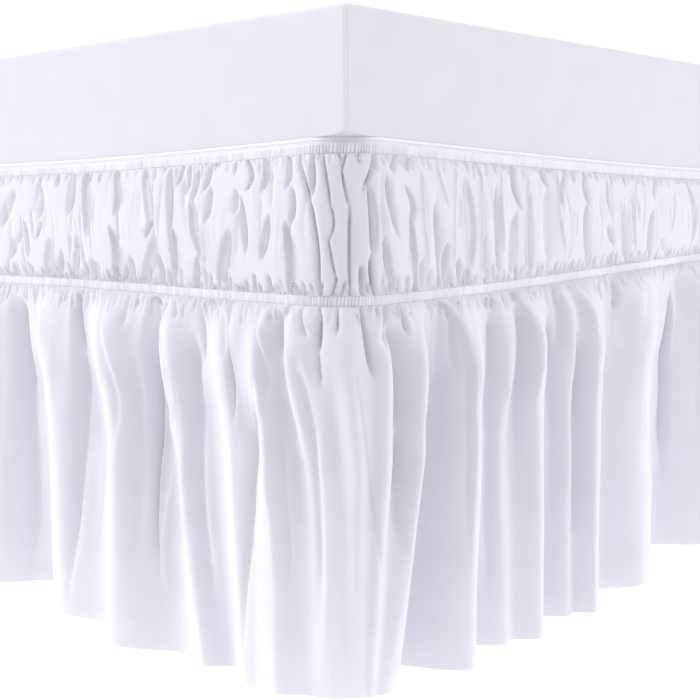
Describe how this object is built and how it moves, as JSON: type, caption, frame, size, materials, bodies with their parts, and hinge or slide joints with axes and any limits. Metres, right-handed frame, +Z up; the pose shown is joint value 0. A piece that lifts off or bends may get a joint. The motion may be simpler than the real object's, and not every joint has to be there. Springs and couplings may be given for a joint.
{
  "type": "gathered bed skirt on a mattress and platform",
  "caption": "Wrap-round ruffled bed skirt with elastic casings and a gathered band, gripping a plain mattress on a low platform with legs.",
  "frame": {"origin": "on the floor, under the middle of the bed", "axes": "+Z up, +Y along the bed from its foot to its head, +X to the long right side"},
  "size_m": [1.1221, 2.0485, 0.6685],
  "materials": {
    "mattress_cover": "plain white brushed knit",
    "platform_wood": "plain pale wood, satin",
    "skirt_piping": "smooth white bias-cut cloth",
    "skirt_casing": "white brushed plain weave, finely pleated on elastic",
    "skirt_band": "white brushed plain weave, gathered",
    "skirt_ruffle": "white brushed plain weave, gathered"
  },
  "bodies": {
    "root": {"mattress": "mattress_cover", "platform": "platform_wood", "leg_1": "platform_wood", "leg_2": "platform_wood", "leg_3": "platform_wood", "leg_4": "platform_wood", "leg_5": "platform_wood", "leg_6": "platform_wood", "top_piping": "skirt_piping", "upper_casing": "skirt_casing", "gathered_band": "skirt_band", "lower_casing": "skirt_casing", "ruffle": "skirt_ruffle"}
  },
  "joints": []
}
